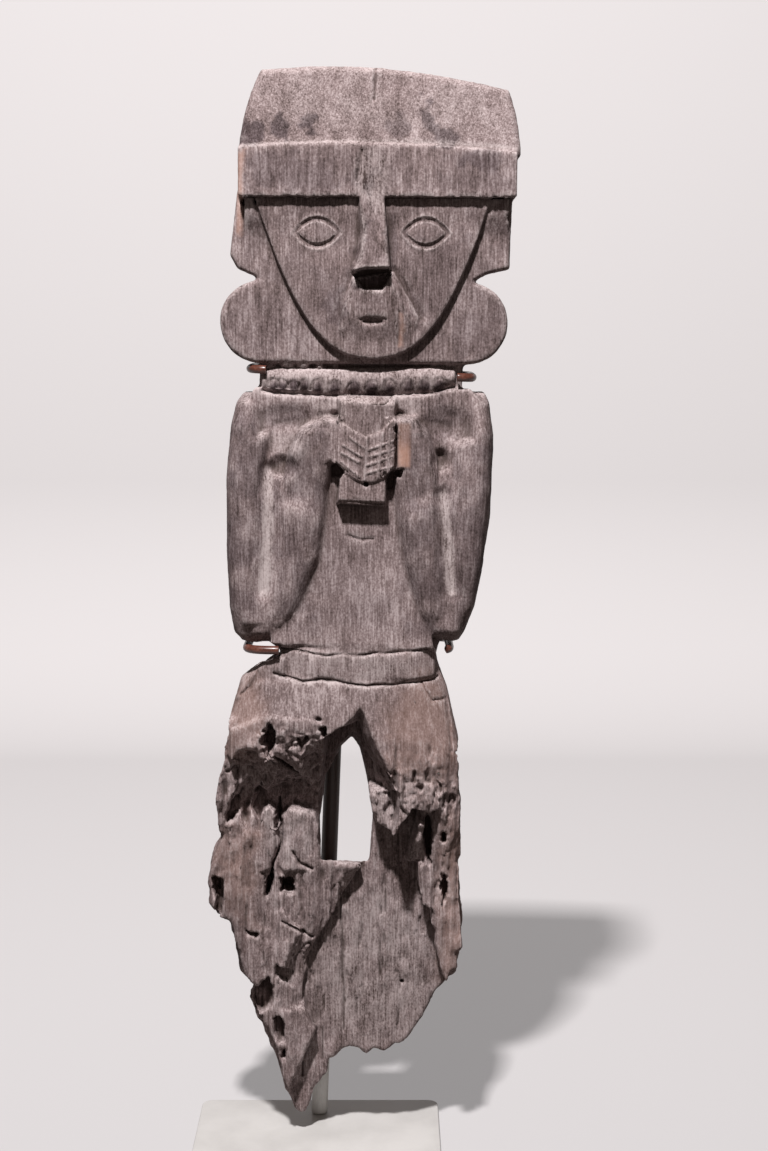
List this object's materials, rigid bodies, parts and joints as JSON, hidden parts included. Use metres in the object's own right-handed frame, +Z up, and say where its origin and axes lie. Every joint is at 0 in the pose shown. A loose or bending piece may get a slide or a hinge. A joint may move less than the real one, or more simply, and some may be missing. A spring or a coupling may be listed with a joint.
{
  "type": "carved wooden figure on a stand",
  "caption": "Weathered carved wooden standing figure in a tall headdress, holding a beaker in both hands, its lower legs eroded to a ragged plank, on a slim rod stand.",
  "frame": {"origin": "middle of the foot plate's underside", "axes": "+Z up, the figure facing -Y, its right-hand side as seen from the front towards +X"},
  "size_m": [0.2315, 0.14, 0.772],
  "materials": {
    "figure_wood": "weathered, matt",
    "rod_paint": "satin",
    "clip_paint": "satin",
    "foot_paint": "satin"
  },
  "bodies": {
    "root": {"wooden_figure": "figure_wood", "support_rod": "rod_paint", "neck_clip": "clip_paint", "waist_clip": "clip_paint", "foot_plate": "foot_paint"}
  },
  "joints": []
}
